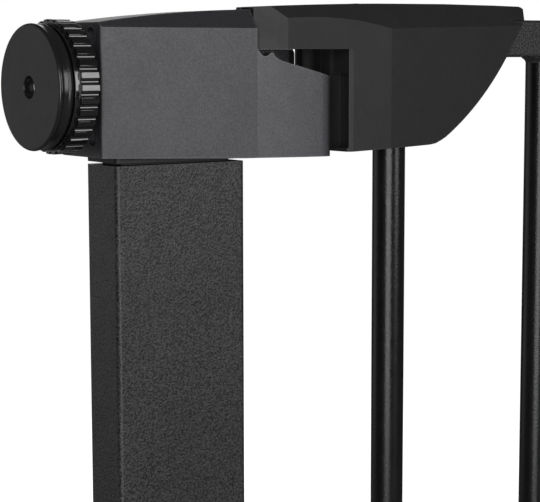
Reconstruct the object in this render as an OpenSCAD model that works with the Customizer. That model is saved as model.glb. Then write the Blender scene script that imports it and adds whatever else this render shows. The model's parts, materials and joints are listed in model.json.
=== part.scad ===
// Pressure-fit safety gate. A U-shaped steel frame is clamped between two walls by four
// screw spindles. A barred door in it swings both ways on a pin and a bush, and a sliding
// bolt in the door's handle locks it between the jaws of the lock housing.
// X runs across the opening, Y through it and Z up. The origin is on the floor, mid-gate.

/* [Frame] */
// Overall height, from the floor to the top of the handle
gate_h = 750; // [700:10:850]
// Width of a post across the opening
post_w = 50; // [50:1:54]
// Depth of the posts, the sill and their plugs through the opening
post_d = 20; // [20:0.5:21]
// Wall of the steel post
post_wall = 1.5; // [1:0.1:2]
// Height of the sill under the door
sill_h = 25; // [20:1:30]

/* [Door] */
// Diameter of a bar
bar_d = 12; // [11.5:0.1:12.5]
// Clear gap between two bars, and between a stile and its post
bar_gap = 65; // [62:0.5:65]
// Side of the square tube of the top and bottom rails
rail = 14; // [14:0.1:14.5]
// Gap between the sill and the door
door_gap = 5; // [4.5:0.5:8]

/* [Lock] */
// Travel of the latch bolt from released to locked
bolt_travel = 12; // [8:1:12]
// Depth of the handle through the opening
handle_d = 32; // [30:1:34]

/* [Spindles] */
// Diameter of a pressure pad
pad_d = 40; // [36:1:40]
// Outer diameter of an adjusting wheel over its rim
wheel_d = 42.6; // [42:0.2:43]
// Diameter of the threaded rod
rod_d = 10; // [8:0.5:10]
// Grip grooves round a wheel
grooves = 34; // [24:1:36]

/* [Hidden] */
$fn = 64;
FINE = 128;                 // rounder circles, for what is large
BARS = 7;

// Heights above the floor
foot_h = 3;                              // under the posts and the sill
sill_top = foot_h + sill_h;
shoe_h = 68;
shoe_screw_z = 60;
door_z = sill_top + door_gap;            // underside of the bottom rail
handle_top = 53.6;                       // handle's crown above the post's top
post_top = gate_h - handle_top;
rail_z = post_top + 34.15;               // underside of the top rail
low_z = 45;                              // axis of the lower spindles
axis_rise = 25.4;                        // axis of the upper spindles above the post's top

// Across the opening
bar_r = bar_d / 2;
pitch = bar_gap + bar_d;
axis_x = pitch * (BARS - 1) / 2;         // hinge axis, and the lock stile on the other side
half_w = axis_x + bar_r + bar_gap + post_w;
stile_u = post_w + bar_gap + bar_r;      // stile's axis from the post's outer face

// Plastic housings
house_d = post_d + 6;
end_x = -7;                              // outer end, past the post's outer face
slot_w = 5.8;                            // core-out slots in an end face
hub_hole_r = 9.3;
roof_r = 500;                            // the housings' arched top
roof_peak = [62, 50.5];
crown_r = 2100;                          // the handle's arched top
crown_x = 150;
roof_slope = 55;                         // bevel along the top edges
jaw_swell = 1.6;                         // jaws swell out this far from the housing's sides
jaw_end = post_w + 36;
back_jaw_end = jaw_end + 1.2;
bridge_z = 37.25;                        // underside of the handle's bridge over the jaws
channel_d = 20;                          // between the jaws

// Bolt, seen along X
bolt_w = 7;
bolt_z = [9, 24];
bolt_x = [post_w + 40.6, post_w + 63];
slide_play = 0.25;

// Fits and wheels
run = 0.06;                              // radial clearance of a running fit
rod_r = rod_d / 2;
wheel_x = [-19.9, -18.3, -12];           // where rim, grip and hub begin
pad_x = [-25.5, -20.2];
rod_x = [-22.5, 44];

function arc(c, r, a0, a1, n = 12) =
  [for (i = [0:n]) c + r * [cos(a0 + (a1 - a0) * i / n), sin(a0 + (a1 - a0) * i / n)]];
function both_sides(pts) =
  concat(pts, [for (i = [len(pts) - 1:-1:0]) [pts[i][0], -pts[i][1]]]);

// ---- shared shapes ----

module round_rect(w, h, r) {
  square([w - 2 * r, h], center = true);
  square([w, h - 2 * r], center = true);
  for (x = [-1, 1], y = [-1, 1])
    translate([x * (w / 2 - r), y * (h / 2 - r)]) circle(r);
}

// An XZ outline pushed through depth d, centred on Y = 0
module through_y(d) {
  rotate([90, 0, 0]) linear_extrude(d, center = true) children();
}

// A YZ outline pushed from x0 to x1
module along_x(x0, x1) {
  translate([x0, 0, 0]) rotate([90, 0, 90]) linear_extrude(x1 - x0) children();
}

module rod_along_x(r, x0, x1) {
  translate([x0, 0, 0]) rotate([0, 90, 0]) cylinder(r = r, h = x1 - x0);
}

// Fasteners: shank and head radius, and the head's height
shank_r = 1.5;
head_r = 3;
head_h = 1.5;

module screw_along_y(y_head, y_tip) {
  translate([0, y_head - head_h, 0]) rotate([-90, 0, 0]) cylinder(r = head_r, h = head_h);
  translate([0, y_tip, 0]) rotate([-90, 0, 0]) cylinder(r = shank_r, h = y_head - head_h - y_tip);
}

// A hole for it, with its head's seat open towards the back
module screw_hole(y_head, y_tip) {
  translate([0, y_tip, 0]) rotate([-90, 0, 0]) cylinder(r = shank_r, h = 60);
  translate([0, y_head - head_h, 0]) rotate([-90, 0, 0]) cylinder(r = head_r + 0.2, h = 60);
}

// Half-space above a plane through p that slopes up and back, turned by yaw and run
module bevel_cut(p, yaw, fall) {
  translate(p) rotate([0, fall, yaw]) rotate([roof_slope, 0, 0])
    translate([-150, -80, 0]) cube([300, 160, 80]);
}

// The two long top edges bevelled off, from height z at depth d/2
module roof_bevels(z, d) {
  for (s = [0, 1]) mirror([0, s, 0]) bevel_cut([0, -d / 2, z], 0, 0);
}

// ---- where things sit ----
// Children are drawn from a post's outer top edge: X inward, Z up from the post's top

module at_left() { translate([-half_w, 0, post_top]) children(); }
module at_right() { mirror([1, 0, 0]) at_left() children(); }
module at_left_foot() { translate([-half_w, 0, 0]) children(); }
module at_right_foot() { mirror([1, 0, 0]) at_left_foot() children(); }
module at_upper_left() { at_left() translate([0, 0, axis_rise]) children(); }
module at_upper_right() { mirror([1, 0, 0]) at_upper_left() children(); }
module at_lower_left() { at_left_foot() translate([0, 0, low_z]) children(); }
module at_lower_right() { mirror([1, 0, 0]) at_lower_left() children(); }

// ---- steel frame ----

module post() {
  color("#343436") difference() {
    translate([post_w / 2, 0, foot_h]) linear_extrude(post_top - foot_h) difference() {
      round_rect(post_w, post_d, 2);
      round_rect(post_w - 2 * post_wall, post_d - 2 * post_wall, 0.6);
    }
    translate([0, 0, low_z]) rod_along_x(7.6, -1, post_wall + 1);
    translate([post_w / 2, 0, shoe_screw_z]) screw_hole(house_d / 2, 6);
  }
}
module left_post() { at_left_foot() post(); }
module right_post() { at_right_foot() post(); }

module sill() {
  color("#343436") along_x(-half_w + post_w, half_w - post_w)
    translate([0, foot_h + sill_h / 2]) difference() {
      round_rect(post_d, sill_h, 2);
      round_rect(post_d - 2 * post_wall, sill_h - 2 * post_wall, 0.6);
    }
}

shoe_over = 8;              // the shoes reach past the posts' inner faces, along the sill

module sill_strip() {
  half = half_w - post_w - shoe_over - 2;
  color("#1c1c1e") translate([-half, -7, 0]) cube([2 * half, 14, foot_h]);
}

// ---- post shoes, which carry the lower spindles ----

// Slots and the spindle's seat, cut into an end face at end_x
module end_face_cuts(depth, reach) {
  rod_along_x(hub_hole_r, end_x - 1, end_x + depth + 1);
  for (s = [-1, 1], k = [-1, 0, 1])
    translate([end_x - 1, k * (slot_w + 0.9), 0]) {
      foot = k == 0 ? hub_hole_r + 2 : hub_hole_r - 0.2;
      near = s * foot;
      far = s * (reach - slot_w / 2);
      translate([0, -slot_w / 2, min(near, far)])
        cube([depth + 1, slot_w, abs(far - near)]);
      translate([0, 0, far]) rod_along_x(slot_w / 2, 0, depth + 1);
    }
}

module shoe() {
  color("#2b2b2e") difference() {
    translate([end_x, -house_d / 2, 0])
      cube([post_w + shoe_over - end_x, house_d, shoe_h]);
    translate([post_w / 2, 0, foot_h]) linear_extrude(shoe_h) round_rect(post_w, post_d, 2);
    along_x(post_w - 2, post_w + shoe_over + 1)
      translate([0, foot_h + sill_h / 2]) round_rect(post_d, sill_h, 2);
    translate([0, 0, low_z]) end_face_cuts(5, 19.5);
    translate([0, 0, low_z]) rod_along_x(hub_hole_r, end_x - 1, 0);
    translate([post_w / 2, 0, shoe_screw_z]) screw_hole(house_d / 2, 0);
  }
}
module left_shoe() { at_left_foot() shoe(); }
module right_shoe() { at_right_foot() shoe(); }

// ---- post plugs: a spigot in the tube, a neck, and a block that the housing sits on ----

plug_top = 15.5;
screw_u = [14, 36];         // housing screws, from the post's outer face
screw_z = 9;
screw_tip_y = 3;

module post_plug() {
  color("#1f1f22") difference() {
    union() {
      translate([post_w / 2, 0, -28]) linear_extrude(28)
        round_rect(post_w - 2 * post_wall, post_d - 2 * post_wall, 0.6);
      translate([post_w / 2, 0, 0]) linear_extrude(0.9)
        round_rect(post_w - 7, post_d - 7, 2);
      translate([post_w / 2, 0, 0.9]) linear_extrude(plug_top - 0.9)
        round_rect(post_w, post_d, 2);
    }
    for (u = screw_u) translate([u, 0, screw_z]) screw_hole(house_d, screw_tip_y);
  }
}
module left_post_plug() { at_left() post_plug(); }
module right_post_plug() { at_right() post_plug(); }

// ---- top housings ----

cavity_x = [-0.2, post_w + 0.2];
cut_x = post_w + 3;          // where the housing opens into its jaws
cheek_r = 7;
corner_r = 1;

// Front half of the plan, swelling out towards a rounded cheek
function half_plan(nose, r) = concat(
  arc([end_x + corner_r, corner_r - house_d / 2], corner_r, 180, 270, 6),
  [for (t = [0:0.125:1])
    [cut_x + (nose - r - cut_x) * t, -house_d / 2 - jaw_swell * (1 - (1 - t) * (1 - t))]],
  arc([nose - r, r - house_d / 2 - jaw_swell], r, -90, 0, 12),
  [[nose, 0]]
);

module house_plan(back_nose, back_r) {
  back = half_plan(back_nose, back_r);
  polygon(concat(
    half_plan(jaw_end, cheek_r),
    [for (i = [len(back) - 1:-1:0]) [back[i][0], -back[i][1]]]
  ));
}

// Under a broad arch, with both long top edges bevelled
module house_blank(back_nose, back_r) {
  difference() {
    intersection() {
      linear_extrude(60) house_plan(back_nose, back_r);
      translate([roof_peak[0], 0, roof_peak[1] - roof_r]) rotate([90, 0, 0])
        cylinder(r = roof_r, h = 60, center = true, $fn = 720);
      union() children();
    }
    roof_bevels(44.1, house_d);
  }
}

module house_hollows() {
  translate([cavity_x[0], -post_d / 2 - 0.2, -1])
    cube([cavity_x[1] - cavity_x[0], post_d + 0.4, 44]);
  translate([0, 0, axis_rise]) end_face_cuts(-end_x + cavity_x[0], 18.9);
  for (u = screw_u) translate([u, 0, screw_z]) screw_hole(house_d / 2, 0);
}

// A side outline: sloping underside, rounded toe, the given top edge, open roof
function jaw_outline(nose, top) = concat(
  [[end_x, 3], [post_w - 2, 1], [nose - 1.6, 0.4]],
  arc([nose - 1.5, 1.9], 1.5, -90, 0, 6),
  top,
  [[cut_x, 56], [end_x, 56]]
);

// Two jaws with a channel between, which flares at the back jaw's end. The front jaw falls
// away from a notch. The back one is level, and fills the space under the handle's bridge.
module lock_housing() {
  front_top = concat(
    arc([jaw_end - 1.5, 26], 1.5, 0, 75, 5),
    [[cut_x + 9.2, 33.4], [cut_x + 7, 34.6]],
    arc([cut_x + 5.6, 35.2], 0.9, 0, 150, 6),
    arc([cut_x + 3.1, 37.1], 2.2, -40, -140, 8),
    [[cut_x, 37.4]]
  );
  back_z = bridge_z - 0.35;
  back_top = concat(arc([back_jaw_end - 1.5, back_z - 1.5], 1.5, 0, 90, 6), [[cut_x, back_z]]);
  color("#46464e") at_left() difference() {
    house_blank(back_jaw_end, 1.5) {
      translate([0, -10, 0]) through_y(20) polygon(jaw_outline(jaw_end, front_top));
      translate([0, 10, 0]) through_y(20) polygon(jaw_outline(back_jaw_end, back_top));
    }
    house_hollows();
    translate([0, 0, 3.4]) linear_extrude(60) polygon([
      [cut_x, -channel_d / 2], [jaw_end + 10, -channel_d / 2], [jaw_end + 10, channel_d / 2 + 7.4],
      [jaw_end - 3, channel_d / 2], [cut_x, channel_d / 2]
    ]);
  }
}

// The other housing closes in a nose, and an ear under the top rail holds the hinge bush
ear_z = [4, 28];
ear_r = 12;
bush_r = 8;

module hinge_housing() {
  color("#46464e") at_right() difference() {
    union() {
      house_blank(jaw_end, cheek_r) through_y(40) polygon(jaw_outline(jaw_end, concat(
        arc([jaw_end - 14, 37], 14, 0, 84, 14),
        [[jaw_end - 14, 56]]
      )));
      translate([0, 0, ear_z[0]]) linear_extrude(ear_z[1] - ear_z[0]) {
        translate([jaw_end - 8, -9]) square([stile_u - jaw_end + 8 - 7.9, 18]);
        translate([stile_u, 0]) circle(ear_r);
      }
    }
    house_hollows();
    translate([cut_x, -channel_d / 2, -1]) cube([20, channel_d, 41]);
    translate([stile_u, 0, 0]) cylinder(r = bush_r, h = 40, $fn = FINE);
  }
}

module keeper() {
  color("#77777c") at_left() difference() {
    translate([post_w + 9, -channel_d / 2, 3.4]) cube([23, channel_d, 18.6]);
    translate([post_w + 8, -bolt_w / 2 - 0.4, 5.4]) cube([30, bolt_w + 0.8, 20]);
  }
}

module hinge_bush() {
  color("#1c1c1e") at_right() translate([stile_u, 0, 0]) difference() {
    translate([0, 0, ear_z[0]]) cylinder(r = bush_r, h = ear_z[1] - ear_z[0], $fn = FINE);
    cylinder(r = bar_r + run, h = 40, $fn = FINE);
  }
}

// ---- lower hinge and the guide on the sill ----

pin_r = 4;
pin_top = door_z + 20;

module lower_hinge() {
  color("#8c8c90") translate([axis_x, 0, sill_top]) {
    difference() {
      translate([-17, -9, 0]) cube([34, 18, 2.2]);
      for (x = [-13, 13]) translate([x, 0, -1]) cylinder(r = 1.7, h = 5);
    }
    cylinder(r = pin_r, h = pin_top - sill_top - 1);
    translate([0, 0, pin_top - sill_top - 1]) cylinder(r1 = pin_r, r2 = pin_r - 1, h = 1, $fn = 48);
  }
}

module thrust_washer() {
  color("#d9d6cc") translate([axis_x, 0, sill_top + 2.2]) difference() {
    cylinder(r = 7.5, h = door_gap - 2.4, $fn = FINE);
    translate([0, 0, -1]) cylinder(r = pin_r + run, h = 10);
  }
}

// A channel on the sill that the door's stud passes along as it shuts
module sill_guide() {
  color("#1f1f22") translate([-axis_x, 0, sill_top]) difference() {
    translate([-14, -9, 0]) cube([28, 18, door_gap - 1.2]);
    translate([-6.5, -10, 1.2]) cube([13, 20, 10]);
    for (x = [-10.5, 10.5]) translate([x, 0, -1]) cylinder(r = 1.7, h = 9);
  }
}

module frame_screws() {
  color("#9a9a9e") {
    for (s = [0, 1]) mirror([s, 0, 0]) {
      at_left() for (u = screw_u)
        translate([u, 0, screw_z]) screw_along_y(house_d / 2, screw_tip_y);
      at_left_foot() translate([post_w / 2, 0, shoe_screw_z]) screw_along_y(house_d / 2, 6);
    }
  }
}

// ---- spindles: guide, wheel, rod and pad ----

module guide() {
  color("#1f1f22") difference() {
    union() {
      rod_along_x(hub_hole_r, -4, cavity_x[0]);
      rod_along_x(7.5, cavity_x[0], 10);
    }
    rod_along_x(rod_r + run, -5, 11);
  }
}
module guide_upper_left() { at_upper_left() guide(); }
module guide_upper_right() { at_upper_right() guide(); }
module guide_lower_left() { at_lower_left() guide(); }
module guide_lower_right() { at_lower_right() guide(); }

module wheel() {
  wheel_r = wheel_d / 2;
  color("#1b1b1d") difference() {
    union() {
      rod_along_x(wheel_r - 1.3, wheel_x[0], wheel_x[1], $fn = FINE);
      along_x(wheel_x[1], wheel_x[2]) difference() {
        circle(wheel_r, $fn = FINE);
        for (i = [0:grooves - 1]) rotate(360 * (i + 0.5) / grooves)
          translate([wheel_r + 0.2, 0]) circle(1, $fn = 24);
      }
      rod_along_x(hub_hole_r - 0.3, wheel_x[2], -4.3);
    }
    rod_along_x(rod_r + run, -21, -4);
  }
}
module wheel_upper_left() { at_upper_left() wheel(); }
module wheel_upper_right() { at_upper_right() wheel(); }
module wheel_lower_left() { at_lower_left() wheel(); }
module wheel_lower_right() { at_lower_right() wheel(); }

module rod() { color("#a8a8ac") rod_along_x(rod_r, rod_x[0], rod_x[1]); }
module rod_upper_left() { at_upper_left() rod(); }
module rod_upper_right() { at_upper_right() rod(); }
module rod_lower_left() { at_lower_left() rod(); }
module rod_lower_right() { at_lower_right() rod(); }

pad_hole_r = 3.5;
groove = 0.5;

module pad() {
  r = pad_d / 2;
  color("#3a3a3b") translate([pad_x[0], 0, 0]) rotate([0, 90, 0]) rotate_extrude($fn = FINE)
    polygon(concat(
      [[pad_hole_r, 0]],
      arc([r - 1, 1], 1, -90, 0, 5),
      [[r, 1.4], [r - groove, 1.8], [r - groove, 3.6], [r, 4],
       [r - 0.5, pad_x[1] - pad_x[0]], [rod_r, pad_x[1] - pad_x[0]],
       [rod_r, rod_x[0] - pad_x[0]], [pad_hole_r, rod_x[0] - pad_x[0]]]
    ));
}
module pad_upper_left() { at_upper_left() pad(); }
module pad_upper_right() { at_upper_right() pad(); }
module pad_lower_left() { at_lower_left() pad(); }
module pad_lower_right() { at_lower_right() pad(); }

// ---- door ----

rail_wall = 1.2;
rail_ends = [-axis_x - 7, axis_x + 7];

module rail_tube(z, x0, x1) {
  color("#343436") along_x(x0, x1) translate([0, z + rail / 2]) difference() {
    round_rect(rail, rail, 1.2);
    round_rect(rail - 2 * rail_wall, rail - 2 * rail_wall, 0.4);
  }
}

module top_rail() { rail_tube(rail_z, rail_ends[0], rail_ends[1]); }

module bottom_rail() {
  difference() {
    rail_tube(door_z, rail_ends[0], rail_ends[1]);
    translate([axis_x, 0, door_z - 1]) cylinder(r = bar_r, h = rail + 2);
  }
}

module bar(i) {
  wall = 1.1;
  color("#3a3a3c") translate([(i - (BARS + 1) / 2) * pitch, 0, door_z + rail])
    difference() {
      cylinder(r = bar_r, h = rail_z - door_z - rail, $fn = FINE);
      translate([0, 0, -1]) cylinder(r = bar_r - wall, h = rail_z - door_z - rail + 2);
    }
}
module lock_stile() { bar(1); }
module bar_2() { bar(2); }
module bar_3() { bar(3); }
module bar_4() { bar(4); }
module bar_5() { bar(5); }
module bar_6() { bar(6); }
module hinge_stile() { bar(7); }

module rail_cap(x0, x1, z) {
  along_x(x0, x1) translate([0, z + rail / 2]) round_rect(rail, rail, 1.2);
}

// Caps close the free ends of the rails
module rail_caps() {
  cap = 1.5;
  color("#1f1f22") {
    rail_cap(rail_ends[1], rail_ends[1] + cap, rail_z);
    rail_cap(rail_ends[1], rail_ends[1] + cap, door_z);
    rail_cap(rail_ends[0] - cap, rail_ends[0], door_z);
  }
}

// Clamped on the hinge stile under the ear, so the door can't be lifted out
module stile_collar() {
  color("#1f1f22") translate([axis_x, 0, post_top + ear_z[0] - 8.5]) difference() {
    cylinder(r = 10, h = 8, $fn = FINE);
    translate([0, 0, -1]) cylinder(r = bar_r, h = 10, $fn = FINE);
  }
}

// Lines the bottom of the hinge stile, and turns on the hinge pin
module stile_bush() {
  color("#d9d6cc") translate([axis_x, 0, door_z]) difference() {
    union() {
      cylinder(r = bar_r, h = rail);
      translate([0, 0, rail]) cylinder(r = bar_r - 1.1, h = 14);
    }
    translate([0, 0, -1]) cylinder(r = pin_r + run, h = 22.5);
  }
}

module guide_stud() {
  color("#9a9a9e") translate([-axis_x, 0, door_z - 2.6]) {
    translate([0, 0, 1]) cylinder(r = 5, h = 1.6);
    cylinder(r1 = 4, r2 = 5, h = 1, $fn = 48);
  }
}

// ---- handle: two shells round the lock stile's top and the rail's end ----
// Drawn like the housings, from the left post's outer top edge

lip_u = post_w + 0.4;
bridge_u = post_w + 3.8;
leg_u = post_w + 40;
face_u = post_w + 13.5;      // front face begins
crease_u = post_w + 58.7;    // front face ends and tapers to the rail
tail_u = post_w + 128.7;      // taper ends, and the tip closes over the rail
tip_u = tail_u + 7;
crease_peak = [post_w + 26, 48];         // highest point of the front face's top edge
crease_r = 256;
sweep = [post_w + 31.7, 103.9];          // centre of the lower edge's long arc
sweep_r = 113.2;
shell = 2.6;
ledge_z = 29;                // ledge in the face towards the jaws

module handle_side() {
  polygon(concat(
    [[lip_u, 60], [lip_u, 51], [bridge_u, 51], [bridge_u, bridge_z], [leg_u, bridge_z],
     [leg_u, 1.7]],
    [[post_w + 79, 2.85], [post_w + 82, 3.25], [post_w + 84.6, 4.15]],
    arc(sweep, sweep_r, -60.6, -32, 16),
    arc([tip_u - 3, 50.3], 3, 0, 80, 8),
    [[tip_u - 3, 60]]
  ));
}

// Along each side: a slanting flank, the face, a long taper to the rail and a rounded tip
module handle_plan() {
  h = handle_d / 2;
  polygon(both_sides([
    [lip_u, 8.5 - h], [bridge_u, 6.3 - h], [face_u, -h], [crease_u, -h],
    [tail_u, -rail / 2 - 1.2], [tail_u + 4, -6], [tip_u - 0.5, -2.5]
  ]));
}

module handle_blank() {
  h = handle_d / 2;
  lean = atan2(h - rail / 2 - 1.2, tail_u - crease_u);
  difference() {
    intersection() {
      through_y(60) handle_side();
      linear_extrude(60) handle_plan();
      translate([crown_x, 0, handle_top - crown_r]) rotate([90, 0, 0])
        cylinder(r = crown_r, h = 60, center = true, $fn = 3600);
    }
    for (s = [0, 1]) mirror([0, s, 0]) {
      // over the front face the crease is arched: a broad barrel leans back at the bevel's slope
      difference() {
        translate([0, -50, 0]) cube([crease_u, 50, 80]);
        translate([crease_peak[0], -h, crease_peak[1]]) rotate([roof_slope - 90, 0, 0])
          translate([0, crease_r, 0]) cylinder(r = crease_r, h = 400, center = true, $fn = 720);
      }
      intersection() {
        bevel_cut([crease_u, -h, 44.3], lean, -1.3);
        translate([crease_u, -50, 0]) cube([100, 60, 80]);
      }
    }
    // behind a slanting line from the lip's tip, the crown steps down
    translate([0, 0, 50.2]) linear_extrude(10) polygon([
      [lip_u - 1, 8.5 - h], [lip_u, 8.5 - h], [face_u - 1, h - 5.5], [face_u - 1, h + 1],
      [lip_u - 1, h + 1]
    ]);
  }
}

module handle_hollow() {
  h = handle_d / 2 - shell;
  intersection() {
    through_y(60) polygon([
      [bridge_u + shell, bridge_z + shell], [leg_u + 6, bridge_z + shell],
      [leg_u + 6, 4.6], [post_w + 78, 5.6], [post_w + 100, 21.5], [post_w + 114, 35.5],
      [post_w + 114, 46.5], [crease_u, 47.4], [bridge_u + shell, 47.2]
    ]);
    linear_extrude(60) polygon(both_sides([
      [bridge_u + shell, 4.4 - h], [face_u, 0.4 - h], [crease_u, 0.1 - h],
      [post_w + 114, -rail / 2]
    ]));
  }
}

slider_u = post_w + 60.5;               // middle of the thumb slider when released
slider_l = 20;
slider_z = 50.8;                        // floor of its recess in the handle's top
stem_l = 4;

// Screws that hold the shells together: along X, height, and head's depth behind the middle
shell_screws = [[post_w + 19, 43.4, 13], [post_w + 83, 10, 12], [post_w + 107, 27, 9.6]];

module handle() {
  difference() {
    union() {
      difference() {
        handle_blank();
        handle_hollow();
      }
      intersection() {
        handle_blank();
        for (p = shell_screws) translate([p[0], 0, p[1]]) rotate([90, 0, 0])
          cylinder(r = head_r + 1.4, h = handle_d, center = true);
      }
    }
    // the rail, the stile and the bolt pass through
    translate([stile_u - rail / 2, -rail / 2, rail_z - post_top]) cube([90, rail, rail]);
    translate([stile_u, 0, -5]) cylinder(r = bar_r, h = 45);
    translate([leg_u - 1, -bolt_w / 2 - slide_play, bolt_z[0] - slide_play])
      cube([10, bolt_w + 2 * slide_play, bolt_z[1] - bolt_z[0] + 2 * slide_play]);
    // the face towards the jaws: a relief either side of the bolt, deeper below a ledge, a
    // groove where the shells meet, and a bevel down the front edge
    for (s = [0, 1]) mirror([0, s, 0]) {
      translate([leg_u - 1, -14.9, 3]) cube([5.5, 10.1, ledge_z - 3]);
      translate([leg_u - 1, -14.9, ledge_z - 1]) cube([2.4, 10.1, bridge_z - ledge_z + 1]);
    }
    translate([leg_u - 1, -0.5, 0]) cube([2, 1, bridge_z]);
    translate([leg_u, -handle_d / 2, bridge_z - 50]) rotate([0, 0, 45])
      cube([2.2, 2.2, 100], center = true);
    // the thumb slider's recess, and the slot for its stem
    translate([slider_u - slider_l / 2 - bolt_travel - 1.5, -6.5, slider_z])
      cube([slider_l + bolt_travel + 3, 13, 10]);
    translate([slider_u - stem_l / 2 - bolt_travel - 0.4, -3.4, 45])
      cube([stem_l + bolt_travel + 0.8, 6.8, 10]);
    for (p = shell_screws) translate([p[0], 0, p[1]]) screw_hole(p[2], -6);
  }
}

module handle_front() {
  color("#333334") at_left() intersection() {
    handle();
    translate([0, -40, -20]) cube([400, 40, 100]);
  }
}

module handle_back() {
  color("#333334") at_left() intersection() {
    handle();
    translate([0, 0, -20]) cube([400, 40, 100]);
  }
}

module handle_screws() {
  color("#9a9a9e") at_left() for (p = shell_screws)
    translate([p[0], 0, p[1]]) screw_along_y(p[2], -5.5);
}

// ---- latch ----

nib_w = 2;
groove_w = 3.2;
groove_h = 1;
clip_z = bolt_z[0] - 3.8;
clip_x = leg_u + 6.1;

// Carries the bolt's rear, clipped between the shells
module bolt_guide() {
  color("#1f1f22") at_left() difference() {
    translate([leg_u + 7, -7, bolt_z[0] - 3]) cube([12, 14, bolt_z[1] - bolt_z[0] + 6]);
    translate([leg_u + 6, -bolt_w / 2 - slide_play, bolt_z[0] - slide_play])
      cube([14, bolt_w + 2 * slide_play, bolt_z[1] - bolt_z[0] + 2 * slide_play]);
    translate([leg_u + 6, -3.4, bolt_z[1]]) cube([14, 6.8, 20]);
    translate([clip_x - 1, -groove_w / 2, 0]) cube([nib_w + 1.3, groove_w, bolt_z[0] + 1]);
  }
}

// A leaf under the guide: its nib rubs in the bolt's groove and stops it at both ends
module stop_clip() {
  color("#b4b4b8") at_left() {
    translate([clip_x, -1.2, clip_z]) cube([12, 2.4, 0.6]);
    translate([clip_x, -1.2, clip_z]) cube([nib_w, 2.4, 4.4]);
  }
}

module latch_bolt() {
  color("#8c8c90") at_left() difference() {
    union() {
      through_y(bolt_w) polygon([
        [bolt_x[0], bolt_z[0] + 2], [bolt_x[0] + 2, bolt_z[0]], [bolt_x[1], bolt_z[0]],
        [bolt_x[1], bolt_z[1]], [bolt_x[0] + 2, bolt_z[1]], [bolt_x[0], bolt_z[1] - 2]
      ]);
      translate([slider_u - stem_l / 2, -3, bolt_z[1] - 1])
        cube([stem_l, 6, slider_z + 1.2 - bolt_z[1] + 1]);
    }
    translate([clip_x - 0.5, -groove_w / 2, bolt_z[0] - 1])
      cube([bolt_travel + nib_w + 1, groove_w, groove_h + 1]);
  }
}

slider_h = 2.2;

// Ribbed across its top, with the bolt's stem let into it
module thumb_slider() {
  color("#1c1c1e") at_left() difference() {
    translate([slider_u - slider_l / 2, -6, slider_z + 0.2]) cube([slider_l, 12, slider_h]);
    translate([slider_u - stem_l / 2, -3, slider_z - 1]) cube([stem_l, 6, 2.2]);
    for (i = [-3:3]) translate([slider_u + i * 2.6, 0, slider_z + 0.2 + slider_h])
      rotate([90, 0, 0]) cylinder(r = 0.7, h = 20, center = true, $fn = 24);
  }
}

left_post();
right_post();
sill();
sill_strip();
left_shoe();
right_shoe();
left_post_plug();
right_post_plug();
lock_housing();
hinge_housing();
keeper();
hinge_bush();
lower_hinge();
thrust_washer();
sill_guide();
frame_screws();
guide_upper_left();
guide_upper_right();
guide_lower_left();
guide_lower_right();
wheel_upper_left();
wheel_upper_right();
wheel_lower_left();
wheel_lower_right();
rod_upper_left();
rod_upper_right();
rod_lower_left();
rod_lower_right();
pad_upper_left();
pad_upper_right();
pad_lower_left();
pad_lower_right();
top_rail();
bottom_rail();
rail_caps();
lock_stile();
bar_2();
bar_3();
bar_4();
bar_5();
bar_6();
hinge_stile();
stile_collar();
stile_bush();
guide_stud();
handle_front();
handle_back();
handle_screws();
bolt_guide();
stop_clip();
latch_bolt();
thumb_slider();
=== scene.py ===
import json
import math

import bmesh
import bpy
from mathutils import Matrix, Vector


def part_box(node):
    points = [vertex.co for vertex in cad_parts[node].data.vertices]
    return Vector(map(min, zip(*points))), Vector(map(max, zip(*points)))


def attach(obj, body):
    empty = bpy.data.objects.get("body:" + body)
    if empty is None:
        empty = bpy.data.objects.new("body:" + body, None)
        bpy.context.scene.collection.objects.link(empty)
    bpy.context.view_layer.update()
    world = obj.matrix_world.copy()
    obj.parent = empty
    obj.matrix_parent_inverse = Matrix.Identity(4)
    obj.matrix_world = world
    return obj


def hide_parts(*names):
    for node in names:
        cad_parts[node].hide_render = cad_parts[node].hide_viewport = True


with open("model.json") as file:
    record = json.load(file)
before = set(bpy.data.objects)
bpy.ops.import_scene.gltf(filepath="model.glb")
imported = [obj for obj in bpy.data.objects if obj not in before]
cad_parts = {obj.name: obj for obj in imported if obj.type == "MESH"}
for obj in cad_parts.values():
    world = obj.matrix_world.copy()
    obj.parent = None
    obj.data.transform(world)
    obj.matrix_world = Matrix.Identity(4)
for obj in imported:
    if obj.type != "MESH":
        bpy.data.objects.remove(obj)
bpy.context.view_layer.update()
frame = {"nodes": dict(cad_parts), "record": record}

MM = 0.001
POST_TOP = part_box("left_post")[1].z
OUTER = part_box("left_post")[0].x          # outer face of the left post
BODY_OF = {n: b for b, members in frame["record"]["behaviour"]["bodies"].items() for n in members}
SLOT_OF = {s["node"]: s["material_slot"] for s in frame["record"]["subparts"]}

# edge rounding in mm: the large mouldings are rounder than the rest
EDGE_R = 0.35
EDGE_R_OF = {"lock_housing": 0.8, "hinge_housing": 0.8, "handle_front": 0.45, "handle_back": 0.45}
EDGE_SEGMENTS = 3
SHARP_DEG = 28                            # a sharper turn than this between faces is an edge
MADE_SHARP_DEG = 32                       # the same, on the pieces that this script shapes itself
SCREW_BODY = {"frame_screws": "frame", "handle_screws": "door"}

# the camera's place from the top of the left post's outer face, in metres, and its turn in degrees
CAMERA_LEFT, CAMERA_FRONT, CAMERA_UP = 0.267, 0.4653, 0.036
CAMERA_YAW, CAMERA_PITCH, CAMERA_ROLL = -35.70, 90 - 6.85, -0.12


# ---- camera ----

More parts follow.
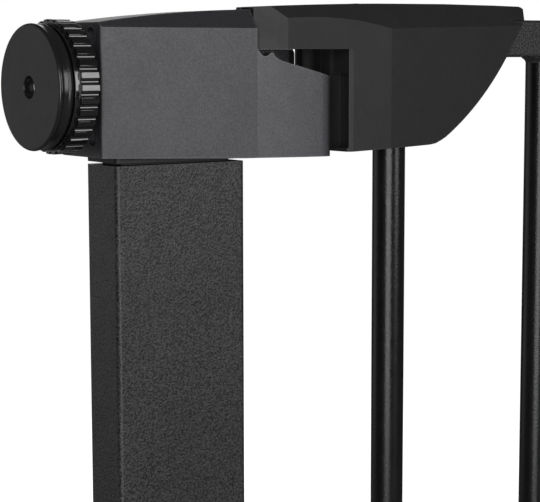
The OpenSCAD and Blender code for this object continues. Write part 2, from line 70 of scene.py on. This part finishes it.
def add_camera():
    data = bpy.data.cameras.new("camera")
    data.lens = 110
    data.sensor_width = 36
    data.clip_start = 0.02
    data.clip_end = 100
    cam = bpy.data.objects.new("camera", data)
    bpy.context.scene.collection.objects.link(cam)
    place = Vector((OUTER - CAMERA_LEFT, -CAMERA_FRONT, POST_TOP + CAMERA_UP))
    turn = (Matrix.Rotation(math.radians(CAMERA_YAW), 4, "Z")
            @ Matrix.Rotation(math.radians(CAMERA_PITCH), 4, "X")
            @ Matrix.Rotation(math.radians(CAMERA_ROLL), 4, "Z"))
    cam.matrix_world = Matrix.Translation(place) @ turn
    bpy.context.scene.camera = cam


# ---- materials ----

class Nodes:
    """A material's node tree, with the few node kinds that the finishes use."""

    def __init__(self, name):
        self.material = bpy.data.materials.new(name)
        self.material.use_nodes = True
        self.tree = self.material.node_tree
        self.shader = self.tree.nodes["Principled BSDF"]
        self.place = self.add("ShaderNodeTexCoord").outputs["Object"]

    def add(self, kind, **settings):
        node = self.tree.nodes.new(kind)
        for key, value in settings.items():
            setattr(node, key, value)
        return node

    def link(self, a, b):
        self.tree.links.new(a, b)

    def noise(self, size, detail=2.0, rough=0.5, stretch=(1, 1, 1)):
        """Noise whose blobs are about size metres across."""
        mapping = self.add("ShaderNodeMapping")
        mapping.inputs["Scale"].default_value = stretch
        self.link(self.place, mapping.inputs["Vector"])
        node = self.add("ShaderNodeTexNoise")
        node.inputs["Scale"].default_value = 1 / size
        node.inputs["Detail"].default_value = detail
        node.inputs["Roughness"].default_value = rough
        self.link(mapping.outputs["Vector"], node.inputs["Vector"])
        return node.outputs["Fac"]

    def spread(self, value, low, high, to_low, to_high):
        node = self.add("ShaderNodeMapRange")
        node.inputs["From Min"].default_value = low
        node.inputs["From Max"].default_value = high
        node.inputs["To Min"].default_value = to_low
        node.inputs["To Max"].default_value = to_high
        self.link(value, node.inputs["Value"])
        return node.outputs["Result"]

    def mix(self, factor, a, b, blend="MIX"):
        node = self.add("ShaderNodeMix", data_type="RGBA", blend_type=blend)
        for socket, value in ((node.inputs[0], factor), (node.inputs[6], a), (node.inputs[7], b)):
            if hasattr(value, "node"):
                self.link(value, socket)
            else:
                socket.default_value = value
        return node.outputs[2]

    def facing(self, axis, low, high):
        """1 where the surface faces along the object's own axis, 0 where it faces across it."""
        parts = self.add("ShaderNodeSeparateXYZ")
        self.link(self.add("ShaderNodeTexCoord").outputs["Normal"], parts.inputs[0])
        size = self.add("ShaderNodeMath", operation="ABSOLUTE")
        self.link(parts.outputs[axis], size.inputs[0])
        return self.spread(size.outputs[0], low, high, 0, 1)

    def edges(self):
        """1 on open surface, falling where the surface turns sharply."""
        rounded = self.add("ShaderNodeBevel", samples=4)
        rounded.inputs["Radius"].default_value = 0.0009
        dot = self.add("ShaderNodeVectorMath", operation="DOT_PRODUCT")
        self.link(rounded.outputs["Normal"], dot.inputs[0])
        self.link(self.add("ShaderNodeNewGeometry").outputs["True Normal"], dot.inputs[1])
        return dot.outputs["Value"]

    def bump(self, height, strength, distance, under=None):
        node = self.add("ShaderNodeBump")
        node.inputs["Strength"].default_value = strength
        node.inputs["Distance"].default_value = distance
        self.link(height, node.inputs["Height"])
        if under is not None:
            self.link(under, node.inputs["Normal"])
        return node.outputs["Normal"]


def grey(value, tint=(1, 1, 1)):
    return (value * tint[0], value * tint[1], value * tint[2], 1)


def coated(name, base, rough, grain, grain_size, fleck, specular=0.5, tint=(1, 1, 1), edge_wear_and_highlight=0.25,
           painted_side_shade_and_gloss=None):
    """A dark moulded or coated surface: speckle, fine grain, faint clouding, and paler edges that
    are partly wear and partly a painted highlight.
    The side-shade argument (axis, shade, rough) paints shade on what faces away from that axis, as
    a darker colour, and gives it another gloss."""
    n = Nodes(name)
    clouds = n.noise(0.03, detail=4)
    flecks = n.noise(grain_size, detail=2, rough=0.6)
    rubs = n.noise(0.006, detail=6, rough=0.65)
    colour = n.mix(n.spread(clouds, 0.3, 0.7, 0, 1), grey(base * 0.9, tint), grey(base * 1.1, tint))
    roughness = n.spread(rubs, 0.3, 0.7, rough - 0.04, rough + 0.05)
    # painted shade: what faces away from the axis gets a darker copy of the colour; only the
    # changed roughness is a real difference in gloss
    if painted_side_shade_and_gloss:
        face = n.facing(painted_side_shade_and_gloss[0], 0.8, 0.96)
        colour = n.mix(face, grey(base * painted_side_shade_and_gloss[1], tint), colour)
        other = n.add("ShaderNodeMix", data_type="FLOAT")
        n.link(face, other.inputs[0])
        other.inputs[2].default_value = painted_side_shade_and_gloss[2]
        n.link(roughness, other.inputs[3])
        roughness = other.outputs[0]
    speckle = n.mix(n.spread(flecks, 0.35, 0.65, 0, 1), grey(1 - fleck), grey(1 + fleck))
    colour = n.mix(1.0, colour, speckle, "MULTIPLY")
    # paler edges: partly wear, partly a painted highlight where the rounded edges catch the light
    worn_and_highlit = n.add("ShaderNodeMath", operation="MULTIPLY")
    n.link(n.spread(n.edges(), 0.985, 0.9, 0, edge_wear_and_highlight), worn_and_highlit.inputs[0])
    n.link(n.spread(rubs, 0.35, 0.65, 0.5, 1), worn_and_highlit.inputs[1])
    colour = n.mix(worn_and_highlit.outputs[0], colour, grey(base * 2.4 + 0.03, tint))
    n.link(colour, n.shader.inputs["Base Color"])
    n.link(roughness, n.shader.inputs["Roughness"])
    n.shader.inputs["Specular IOR Level"].default_value = specular
    soft = n.bump(clouds, 0.05, 0.0005)
    n.link(n.bump(flecks, grain, 0.0002, soft), n.shader.inputs["Normal"])
    return n.material


def metal(name, base, rough, stretch):
    """Zinc-plated steel with drawn lines and slight dulling."""
    n = Nodes(name)
    lines = n.noise(0.0012, detail=3, stretch=stretch)
    dull = n.noise(0.008, detail=5)
    colour = n.mix(n.spread(dull, 0.35, 0.7, 0, 1), grey(base), grey(base * 0.7, (1.02, 1, 0.95)))
    n.link(colour, n.shader.inputs["Base Color"])
    n.shader.inputs["Metallic"].default_value = 1
    n.link(n.spread(dull, 0.3, 0.7, rough, rough + 0.18), n.shader.inputs["Roughness"])
    n.link(n.bump(lines, 0.25, 0.0001), n.shader.inputs["Normal"])
    return n.material


def make_finishes():
    return {
        "coat": coated("powder_coat", base=0.03, rough=0.37, grain=0.85, grain_size=0.0007,
                       fleck=0.9, edge_wear_and_highlight=0.3),
        "bar_coat": coated("bar_coat", base=0.007, rough=0.24, grain=0.3, grain_size=0.0008,
                           fleck=0.3, edge_wear_and_highlight=0.1),
        "housing": coated("housing_plastic", base=0.076, rough=0.38, grain=0.2, grain_size=0.0006,
                          fleck=0.25, specular=0.5, tint=(0.97, 0.96, 1.08), edge_wear_and_highlight=0.5,
                          # painted shade on the roof, end faces and rounded nose, which face away
                          # from Y
                          painted_side_shade_and_gloss=("Y", 0.36, 0.45)),
        "handle": coated("handle_plastic", base=0.022, rough=0.5, grain=0.12, grain_size=0.0007,
                         fleck=0.15, specular=0.38, tint=(1, 1, 1.05), edge_wear_and_highlight=0.25),
        "inner_plastic": coated("inner_plastic", base=0.02, rough=0.5, grain=0.2,
                                grain_size=0.0008, fleck=0.2, specular=0.4),
        "wheel": coated("wheel_plastic", base=0.004, rough=0.12, grain=0.03, grain_size=0.0015,
                        fleck=0.1, specular=1.0, edge_wear_and_highlight=0.0),
        "pad": coated("pad_rubber", base=0.045, rough=0.6, grain=0.08, grain_size=0.0006,
                      # painted shade on the pad's rim, which faces away from X
                      fleck=0.08, edge_wear_and_highlight=0.1, painted_side_shade_and_gloss=("X", 0.25, 0.2)),
        "rubber": coated("strip_rubber", base=0.02, rough=0.7, grain=0.3, grain_size=0.0008,
                         fleck=0.2, specular=0.3),
        "steel": metal("plated_steel", 0.55, 0.28, (1, 1, 0.1)),
        "nylon": coated("nylon", base=0.03, rough=0.4, grain=0.05, grain_size=0.0012,
                        fleck=0.1, specular=0.45),
    }


# ---- meshes ----

def refined(node):
    """The CAD node's shape with its flat faces whole and its sharp edges rounded off."""
    source = frame["nodes"][node]
    mesh = bpy.data.meshes.new(node + "_skin")
    bm = bmesh.new()
    bm.from_mesh(source.data)
    bmesh.ops.remove_doubles(bm, verts=bm.verts, dist=2e-6)
    bmesh.ops.dissolve_limit(bm, angle_limit=math.radians(0.6), verts=bm.verts, edges=bm.edges)
    bm.to_mesh(mesh)
    bm.free()
    piece = bpy.data.objects.new(node + "_skin", mesh)
    bpy.context.scene.collection.objects.link(piece)
    for face in mesh.polygons:
        face.use_smooth = True
    mesh.set_sharp_from_angle(angle=math.radians(SHARP_DEG))
    mesh.materials.append(finishes[SLOT_OF[node]])
    round_off = piece.modifiers.new("round", "BEVEL")
    round_off.width = EDGE_R_OF.get(node, EDGE_R) * MM
    round_off.segments = EDGE_SEGMENTS
    round_off.limit_method = "ANGLE"
    round_off.angle_limit = math.radians(SHARP_DEG)
    round_off.use_clamp_overlap = True
    flatten = piece.modifiers.new("flatten", "WEIGHTED_NORMAL")
    flatten.weight = 100
    flatten.keep_sharp = True
    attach(piece, BODY_OF[node])
    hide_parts(node)
    return piece


def piece_of(name, bm, body, slot, *replaced):
    """An object of the mesh, which moves with the body and has the slot's finish."""
    mesh = bpy.data.meshes.new(name)
    bmesh.ops.recalc_face_normals(bm, faces=bm.faces)
    bm.to_mesh(mesh)
    bm.free()
    for face in mesh.polygons:
        face.use_smooth = True
    mesh.set_sharp_from_angle(angle=math.radians(MADE_SHARP_DEG))
    mesh.materials.append(finishes[slot])
    piece = bpy.data.objects.new(name, mesh)
    bpy.context.scene.collection.objects.link(piece)
    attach(piece, body)
    if replaced:
        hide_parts(*replaced)
    return piece


def skin_rings(bm, rings, closed_ends=True):
    """Quads between successive rings of points, with a fan to the middle of each end ring."""
    rows = [[bm.verts.new(p) for p in ring] for ring in rings]
    count = len(rows[0])
    for a, b in zip(rows, rows[1:]):
        for i in range(count):
            j = (i + 1) % count
            bm.faces.new((a[i], a[j], b[j], b[i]))
    if closed_ends:
        for row in (rows[0], rows[-1]):
            middle = bm.verts.new(sum((v.co for v in row), Vector()) / count)
            for i in range(count):
                bm.faces.new((row[i], row[(i + 1) % count], middle))


def hexagon(apothem, turn):
    """A hexagon's radius in the direction of turn."""
    return apothem / math.cos((turn + math.pi / 6) % (math.pi / 3) - math.pi / 6)


def islands(node):
    """The lowest and highest corner of each separate solid in a CAD node."""
    bm = bmesh.new()
    bm.from_mesh(frame["nodes"][node].data)
    bmesh.ops.remove_doubles(bm, verts=bm.verts, dist=2e-6)
    left, boxes = set(bm.verts), []
    while left:
        todo, found = [left.pop()], []
        while todo:
            vert = todo.pop()
            found.append(vert.co.copy())
            near = {e.other_vert(vert) for e in vert.link_edges} & left
            left -= near
            todo += near
        boxes.append([Vector(pick(p[i] for p in found) for i in range(3)) for pick in (min, max)])
    bm.free()
    return sorted(boxes, key=lambda box: tuple(round(v, 4) for v in box[0]))


def add_screws(node, body):
    """Pan-head screws with a hexagon socket, heads to the back, where the CAD node has them."""
    bm = bmesh.new()
    turns = [math.tau * i / 36 for i in range(36)]
    for low, high in islands(node):
        x, z, tip, top = (low.x + high.x) / 2, (low.z + high.z) / 2, low.y, high.y
        round_rings = [(tip, 1.0), (tip + 0.6 * MM, 1.5), (top - 1.5 * MM, 1.5),
                       (top - 1.5 * MM, 2.85), (top - 1.35 * MM, 3.0), (top - 0.6 * MM, 2.97),
                       (top - 0.25 * MM, 2.7), (top - 0.05 * MM, 2.2), (top, 1.75)]
        socket = [(top, 1.28), (top - 0.1 * MM, 1.2), (top - 1.0 * MM, 1.16), (top - 1.2 * MM, 0.5)]
        rings = [[(x + r * MM * math.cos(t), y, z + r * MM * math.sin(t)) for t in turns]
                 for y, r in round_rings]
        rings += [[(x + hexagon(r, t) * MM * math.cos(t), y, z + hexagon(r, t) * MM * math.sin(t))
                   for t in turns] for y, r in socket]
        skin_rings(bm, rings)
    piece_of(node + "_detail", bm, body, "steel", node)


def add_rod(corner):
    """A screw spindle with a 3 mm thread, and a hexagon socket in its outer end."""
    node = "rod_" + corner
    low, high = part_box(node)
    z, reach = (low.z + high.z) / 2, high.x - low.x
    inner, out = (high.x, -1) if "left" in corner else (low.x, 1)
    radius, pitch, depth = (high.z - low.z) / 2, 3 * MM, 0.75 * MM
    turns = [math.tau * i / 24 for i in range(24)]
    steps = 180

    def ring(along, size):
        return [(inner + out * along, size(t) * math.cos(t), z + size(t) * math.sin(t))
                for t in turns]

    def crest(along):
        def size(turn):
            groove = abs(2 * ((along / pitch - turn / math.tau) % 1) - 1)
            cut = depth * min(max((groove - 0.2) / 0.5, 0), 1)
            end = min(along, reach - along)
            return min(radius - cut, radius - 1.1 * MM + end)
        return size

    rings = [ring(reach * i / steps, crest(reach * i / steps)) for i in range(steps + 1)]
    for along, apothem in ((reach, 2.2), (reach - 0.25 * MM, 2.0), (reach - 3 * MM, 2.0),
                           (reach - 3.4 * MM, 1.2)):
        rings.append(ring(along, lambda turn, a=apothem: hexagon(a * MM, turn)))
    bm = bmesh.new()
    skin_rings(bm, rings)
    piece_of(node + "_thread", bm, "spindle_" + corner, "steel", node)


def add_welds():
    """A bead round each bar where it meets a rail."""
    turns = [math.tau * i / 40 for i in range(40)]
    bars = ["lock_stile", "bar_2", "bar_3", "bar_4", "bar_5", "bar_6", "hinge_stile"]
    profile = [(-0.3, -0.2), (2.1, -0.2), (1.9, 0.35), (1.1, 0.8), (0.5, 1.4), (0.15, 2.1),
               (-0.3, 2.3)]
    for end, rise in (("top", -1), ("bottom", 1)):
        bm = bmesh.new()
        for k, bar in enumerate(bars):
            low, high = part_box(bar)
            x, radius = (low.x + high.x) / 2, (high.x - low.x) / 2
            z = high.z if end == "top" else low.z
            rings = []
            for out, up in profile:
                ring = []
                for t in turns:
                    ripple = 1 + 0.1 * math.sin(9 * t + 2 * k) + 0.06 * math.sin(5 * t - k)
                    spread = out * (0.25 + 0.75 * abs(math.cos(t))) * ripple if out > 0 else out
                    r = radius + spread * MM
                    ring.append((x + r * math.cos(t), r * math.sin(t), z + rise * up * ripple * MM))
                rings.append(ring)
            skin_rings(bm, rings + [rings[0]], closed_ends=False)
        bmesh.ops.remove_doubles(bm, verts=bm.verts, dist=1e-6)
        piece_of("weld_beads_" + end, bm, "door", "coat")


def add_jaw_felt():
    """A thin felt on the back jaw, just under where the handle's bridge comes to rest."""
    top = POST_TOP + 37.22 * MM
    x0, x1 = OUTER + 56 * MM, OUTER + 86.6 * MM
    y0, y1 = 12.1 * MM, 13.2 * MM
    bm = bmesh.new()
    corners = []
    for cx, cy, start in ((x1, y1, 0), (x0, y1, 90), (x0, y0, 180), (x1, y0, 270)):
        for i in range(5):
            a = math.radians(start + 22.5 * i)
            sx = -1 if cx == x1 else 1
            sy = -1 if cy == y1 else 1
            corners.append((cx + sx * 0.4 * MM + 0.4 * MM * math.cos(a),
                            cy + sy * 0.4 * MM + 0.4 * MM * math.sin(a)))
    skin_rings(bm, [[(x, y, z) for x, y in corners] for z in (POST_TOP + 36.8 * MM, top)])
    piece_of("jaw_felt", bm, "frame", "rubber")


# ---- stage ----

def add_stage():
    bpy.ops.mesh.primitive_plane_add(size=1, location=(0, 3, 0))
    floor = bpy.context.object
    floor.name = "floor"
    floor.scale = (8, 12, 1)
    n = Nodes("floor_paper")
    n.shader.inputs["Base Color"].default_value = grey(0.82)
    n.shader.inputs["Roughness"].default_value = 0.9
    n.shader.inputs["Specular IOR Level"].default_value = 0.1
    n.shader.inputs["Emission Color"].default_value = grey(1)
    n.shader.inputs["Emission Strength"].default_value = 0.95
    # the floor looks white, but lights the object no more than grey paper would
    paper = n.add("ShaderNodeBsdfDiffuse")
    paper.inputs["Color"].default_value = grey(0.3)
    path = n.add("ShaderNodeLightPath")
    choose = n.add("ShaderNodeMixShader")
    n.link(path.outputs["Is Camera Ray"], choose.inputs[0])
    n.link(paper.outputs[0], choose.inputs[1])
    n.link(n.shader.outputs[0], choose.inputs[2])
    n.link(choose.outputs[0], n.tree.nodes["Material Output"].inputs["Surface"])
    floor.data.materials.append(n.material)

    world = bpy.data.worlds.new("studio")
    bpy.context.scene.world = world
    world.use_nodes = True
    tree = world.node_tree
    back = tree.nodes["Background"]
    seen = tree.nodes.new("ShaderNodeBackground")
    seen.inputs["Color"].default_value = grey(1)
    seen.inputs["Strength"].default_value = 1.0
    back.inputs["Color"].default_value = grey(1)
    back.inputs["Strength"].default_value = 0.08
    path = tree.nodes.new("ShaderNodeLightPath")
    choose = tree.nodes.new("ShaderNodeMixShader")
    tree.links.new(path.outputs["Is Camera Ray"], choose.inputs[0])
    tree.links.new(back.outputs[0], choose.inputs[1])
    tree.links.new(seen.outputs[0], choose.inputs[2])
    tree.links.new(choose.outputs[0], tree.nodes["World Output"].inputs["Surface"])

    def area(name, place, aim, size, power):
        data = bpy.data.lights.new(name, "AREA")
        data.shape = "RECTANGLE"
        data.size, data.size_y = size
        data.energy = power
        lamp = bpy.data.objects.new(name, data)
        bpy.context.scene.collection.objects.link(lamp)
        lamp.location = place
        lamp.rotation_euler = (Vector(aim) - Vector(place)).to_track_quat("-Z", "Y").to_euler()

    area("key", (-1.6, -1.73, 0.85), (-0.25, 0, 0.6), (1.3, 1.6), 25)
    area("strip", (0.5, -2.05, 1.1), (-0.25, 0, 0.65), (0.9, 1.2), 14)
    area("rear_left", (-1.5, 1.8, 0.8), (-0.25, 0, 0.6), (1.5, 1.5), 2.6)
    area("back_soft", (1.1, 2.2, 1.4), (0, 0, 0.5), (1.8, 1.2), 10)


scene = bpy.context.scene
scene.view_settings.view_transform = "Standard"
add_camera()
finishes = make_finishes()
for name, node in frame["nodes"].items():
    node.data.materials.clear()
    node.data.materials.append(finishes[SLOT_OF[name]])
for name in frame["nodes"]:
    if name in SCREW_BODY:
        add_screws(name, SCREW_BODY[name])
    elif name.startswith("rod_"):
        add_rod(name[4:])
    else:
        refined(name)
add_welds()
add_jaw_felt()
add_stage()
